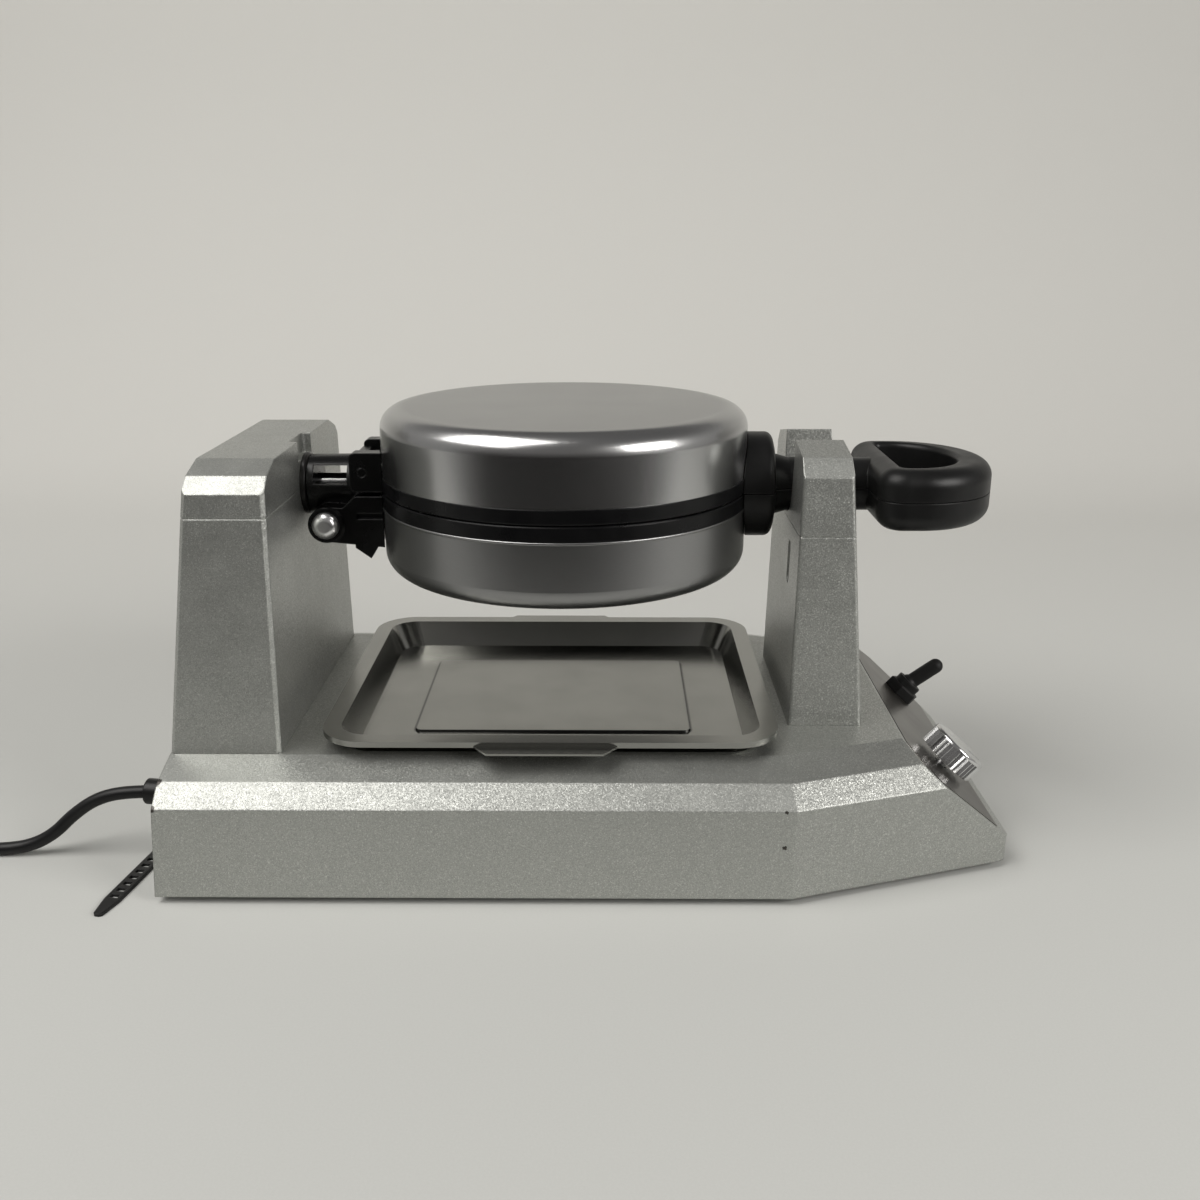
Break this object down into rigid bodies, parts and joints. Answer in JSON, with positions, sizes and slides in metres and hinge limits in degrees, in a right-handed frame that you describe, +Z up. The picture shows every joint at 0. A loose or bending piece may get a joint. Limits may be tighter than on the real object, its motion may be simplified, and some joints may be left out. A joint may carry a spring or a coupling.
{
  "type": "rotary waffle maker",
  "caption": "Round waffle maker head that turns over on a shaft between a rear tower and a forked yoke, above a drip tray in a painted base.",
  "frame": {"origin": "on the table, under the middle of the base", "axes": "+X along the turning shaft from the rear tower to the handle, +Z up, +Y to the far side"},
  "size_m": [0.701, 0.3026, 0.2358],
  "materials": {
    "silver_paint": "metallic flake, satin",
    "shell_steel": "satin brushed",
    "tray_steel": "satin",
    "panel_steel": "brushed, dark",
    "black_phenolic": "matte",
    "black_enamel": "gloss",
    "black_ring": "satin",
    "cast_plate": "cast, dark nonstick coating",
    "bright_chrome": "polished",
    "zinc_screw": "zinc plated",
    "plain_steel": "plain",
    "black_rubber": "matte",
    "cord_rubber": "matte",
    "strap_black": "satin",
    "white_fibre": "fibre board",
    "black_bakelite": "moulded",
    "blade_brass": "plain"
  },
  "bodies": {
    "base": {"base_housing": "silver_paint", "base_plate": "plain_steel", "base_screws": "zinc_screw", "rubber_feet": "black_rubber", "rear_tower": "silver_paint", "rear_tower_cap": "silver_paint", "tower_screws": "zinc_screw", "tower_cap_screws": "zinc_screw", "shaft_bush": "black_bakelite", "front_yoke": "silver_paint", "front_yoke_cap": "silver_paint", "yoke_cap_screws": "zinc_screw", "yoke_screws": "zinc_screw", "control_panel": "panel_steel", "thermostat_body": "black_bakelite", "switch_body": "black_bakelite", "switch_nut": "black_rubber", "terminal_block": "black_bakelite", "strain_relief": "black_rubber", "cord_lead": "cord_rubber", "cord_coil": "cord_rubber", "plug_body": "black_rubber", "plug_blades": "blade_brass", "cord_tie": "strap_black"},
    "knob": {"control_knob": "bright_chrome", "thermostat_spindle": "plain_steel"},
    "switch": {"switch_lever": "bright_chrome", "switch_boot": "black_rubber"},
    "tray": {"drip_tray": "tray_steel"},
    "head": {"shaft_tube": "bright_chrome", "shaft_nut": "zinc_screw", "stop_washer": "zinc_screw", "hinge_carrier": "black_enamel", "cross_bolt": "bright_chrome", "carrier_screws": "zinc_screw", "lower_shell": "shell_steel", "lower_ring": "black_ring", "lower_waffle_plate": "cast_plate", "lower_element": "plain_steel", "lower_insulation": "white_fibre", "lower_ring_screws": "zinc_screw", "lower_handle": "black_phenolic", "lower_handle_screws": "zinc_screw", "temperature_probe": "plain_steel"},
    "lid": {"upper_shell": "shell_steel", "upper_ring": "black_ring", "upper_waffle_plate": "cast_plate", "upper_element": "plain_steel", "upper_insulation": "white_fibre", "upper_ring_screws": "zinc_screw", "upper_handle": "black_phenolic", "upper_handle_screws": "zinc_screw", "upper_hinge_bracket": "black_enamel", "bracket_screws": "zinc_screw", "lid_hinge_pin": "black_enamel"}
  },
  "joints": [
    {"name": "head_flip", "type": "hinge", "parent": "base", "child": "head", "pos_m": [0, 0, 0.1915], "axis": [1, 0, 0], "range_deg": [-180, 0]},
    {"name": "lid_open", "type": "hinge", "parent": "head", "child": "lid", "pos_m": [-0.1245, 0, 0.2025], "axis": [0, -1, 0], "range_deg": [0, 90]},
    {"name": "knob_turn", "type": "hinge", "parent": "base", "child": "knob", "pos_m": [0.19178, -0.049, 0.04412], "axis": [0.6679, 0, 0.7442], "range_deg": [0, 270]},
    {"name": "switch_toggle", "type": "hinge", "parent": "base", "child": "switch", "pos_m": [0.19779, 0.054, 0.05082], "axis": [0, -1, 0], "range_deg": [0, 24]},
    {"name": "tray_lift", "type": "slide", "parent": "base", "child": "tray", "axis": [0, 0, 1], "range_m": [0, 0.06]}
  ]
}
